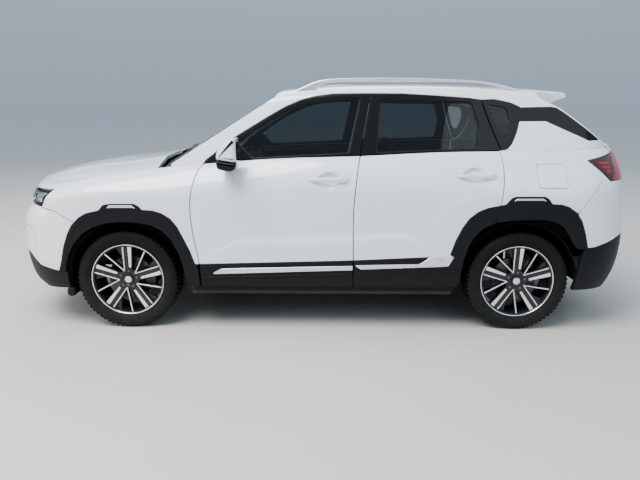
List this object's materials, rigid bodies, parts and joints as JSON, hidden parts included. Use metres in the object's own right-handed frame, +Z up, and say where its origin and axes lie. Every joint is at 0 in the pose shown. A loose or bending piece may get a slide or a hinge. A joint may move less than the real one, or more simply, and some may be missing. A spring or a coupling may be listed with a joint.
{
  "type": "crossover suv",
  "caption": "Compact five-door crossover on road wheels, with opening doors, bonnet, tailgate and fuel flap, steered front wheels and a full cabin.",
  "frame": {"origin": "on the ground, midway between the axles, on the centre plane", "axes": "+X towards the nose, +Y to the left side, +Z up"},
  "size_m": [4.3373, 2.04, 1.6622],
  "materials": {
    "paint": "pearl white gloss",
    "cladding": "grained black",
    "glass": "dark tint",
    "lamp_clear": "clear lens",
    "lamp_red": "red lens",
    "tyre": "matt rubber",
    "rim": "machined face over dark grey",
    "rail": "satin",
    "steel": "satin dark",
    "iron": "as cast",
    "structure": "primer grey",
    "interior": "grained dark grey",
    "seat": "dark woven"
  },
  "bodies": {
    "root": {"arch_trims": "cladding", "body_side_left": "paint", "body_side_right": "paint", "bumper_front": "paint", "bumper_front_lower": "cladding", "bumper_rear": "paint", "bumper_rear_lower": "cladding", "cooling_pack": "steel", "cowl": "cladding", "dashboard": "interior", "engine": "iron", "exhaust": "steel", "fender_left": "paint", "fender_right": "paint", "front_suspension": "steel", "grille": "cladding", "headlamps": "lamp_clear", "quarter_glass": "glass", "rear_axle": "steel", "roof": "paint", "roof_rails": "rail", "seats": "seat", "tail_lamps": "lamp_red", "underbody": "structure", "wheel_liners": "cladding", "windscreen": "glass"},
    "door_front_left": {"door_front_left": "paint", "door_trim_front_left": "cladding", "glass_front_left": "glass", "mirror_left": "paint"},
    "door_front_right": {"door_front_right": "paint", "door_trim_front_right": "cladding", "glass_front_right": "glass", "mirror_right": "paint"},
    "door_rear_left": {"door_rear_left": "paint", "door_trim_rear_left": "cladding", "glass_rear_left": "glass"},
    "door_rear_right": {"door_rear_right": "paint", "door_trim_rear_right": "cladding", "glass_rear_right": "glass"},
    "bonnet": {"bonnet": "paint"},
    "tailgate": {"tailgate": "paint", "tailgate_glass": "glass", "spoiler": "paint", "tailgate_lamps": "lamp_red"},
    "fuel_flap": {"fuel_flap": "paint"},
    "knuckle_left": {"knuckle_left": "steel"},
    "knuckle_right": {"knuckle_right": "steel"},
    "steering_wheel": {"steering_wheel": "interior"},
    "wheel_front_left": {"tyre_front_left": "tyre", "rim_front_left": "rim"},
    "wheel_front_right": {"tyre_front_right": "tyre", "rim_front_right": "rim"},
    "wheel_rear_left": {"tyre_rear_left": "tyre", "rim_rear_left": "rim"},
    "wheel_rear_right": {"tyre_rear_right": "tyre", "rim_rear_right": "rim"}
  },
  "joints": [
    {"name": "front_left_door", "type": "hinge", "parent": "root", "child": "door_front_left", "pos_m": [0.85, 0.913, 0.8], "axis": [0, 0, -1], "range_deg": [0, 68]},
    {"name": "front_right_door", "type": "hinge", "parent": "root", "child": "door_front_right", "pos_m": [0.85, -0.913, 0.8], "axis": [0, 0, 1], "range_deg": [0, 68]},
    {"name": "rear_left_door", "type": "hinge", "parent": "root", "child": "door_rear_left", "pos_m": [-0.2085, 0.913, 0.8], "axis": [0, 0, -1], "range_deg": [0, 68]},
    {"name": "rear_right_door", "type": "hinge", "parent": "root", "child": "door_rear_right", "pos_m": [-0.2085, -0.913, 0.8], "axis": [0, 0, 1], "range_deg": [0, 68]},
    {"name": "bonnet_hinge", "type": "hinge", "parent": "root", "child": "bonnet", "pos_m": [1.083, 0, 1.146], "axis": [0, -1, 0], "range_deg": [0, 50]},
    {"name": "tailgate_hinge", "type": "hinge", "parent": "root", "child": "tailgate", "pos_m": [-1.371, 0, 1.618], "axis": [0, 1, 0], "range_deg": [0, 80]},
    {"name": "fuel_flap_hinge", "type": "hinge", "parent": "root", "child": "fuel_flap", "pos_m": [-1.373, 0.904, 1.04], "axis": [0, 0, -1], "range_deg": [0, 95]},
    {"name": "steering_left", "type": "hinge", "parent": "root", "child": "knuckle_left", "pos_m": [1.3, 0.705, 0.336], "axis": [0, 0, 1], "range_deg": [-33, 33]},
    {"name": "steering_right", "type": "hinge", "parent": "root", "child": "knuckle_right", "pos_m": [1.3, -0.705, 0.336], "axis": [0, 0, 1], "range_deg": [-33, 33]},
    {"name": "steering_column", "type": "hinge", "parent": "root", "child": "steering_wheel", "pos_m": [0.412, 0.37, 0.993], "axis": [-0.9207, 0, 0.3903], "range_deg": [-495, 495]},
    {"name": "spin_front_left", "type": "hinge", "parent": "knuckle_left", "child": "wheel_front_left", "pos_m": [1.3, 0.775, 0.336], "axis": [0, 1, 0], "continuous": true},
    {"name": "spin_front_right", "type": "hinge", "parent": "knuckle_right", "child": "wheel_front_right", "pos_m": [1.3, -0.775, 0.336], "axis": [0, 1, 0], "continuous": true},
    {"name": "spin_rear_left", "type": "hinge", "parent": "root", "child": "wheel_rear_left", "pos_m": [-1.3, 0.775, 0.336], "axis": [0, 1, 0], "continuous": true},
    {"name": "spin_rear_right", "type": "hinge", "parent": "root", "child": "wheel_rear_right", "pos_m": [-1.3, -0.775, 0.336], "axis": [0, 1, 0], "continuous": true}
  ],
  "couplings": [
    {"joint": "steering_right", "follows": "steering_left", "ratio": 1},
    {"joint": "steering_column", "follows": "steering_left", "ratio": 15}
  ]
}
